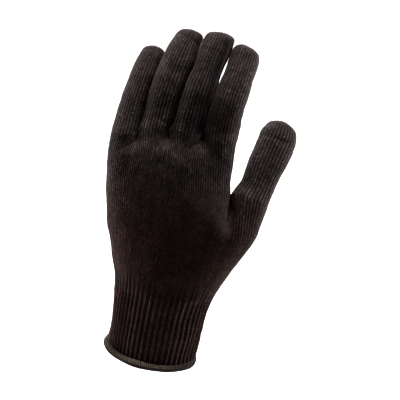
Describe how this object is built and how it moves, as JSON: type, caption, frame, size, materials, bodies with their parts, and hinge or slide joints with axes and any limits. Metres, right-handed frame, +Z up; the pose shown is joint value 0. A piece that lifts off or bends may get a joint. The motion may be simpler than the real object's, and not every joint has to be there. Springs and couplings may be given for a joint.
{
  "type": "knitted glove liner",
  "caption": "Seamless knitted glove liner in its worn form, left hand, with a ribbed cuff and a rolled overlocked hem, hollow and open at the wrist.",
  "frame": {"origin": "centre of the cuff's opening, in the plane of the hem's lower edge", "axes": "+Z up the cuff towards the fingers, +X towards the thumb, -Y out of the back of the hand"},
  "size_m": [0.1348, 0.0995, 0.2397],
  "materials": {
    "knit": "brown-black heather plain knit, fine gauge, matt with a pale fuzz at grazing angles",
    "rib_knit": "brown-black elastic rib knit, matt",
    "overlock_thread": "dark olive overlock thread, matt"
  },
  "bodies": {
    "root": {"hem": "overlock_thread", "cuff": "rib_knit", "hand": "knit", "little_finger": "knit", "ring_finger": "knit", "middle_finger": "knit", "index_finger": "knit", "thumb": "knit"}
  },
  "joints": []
}
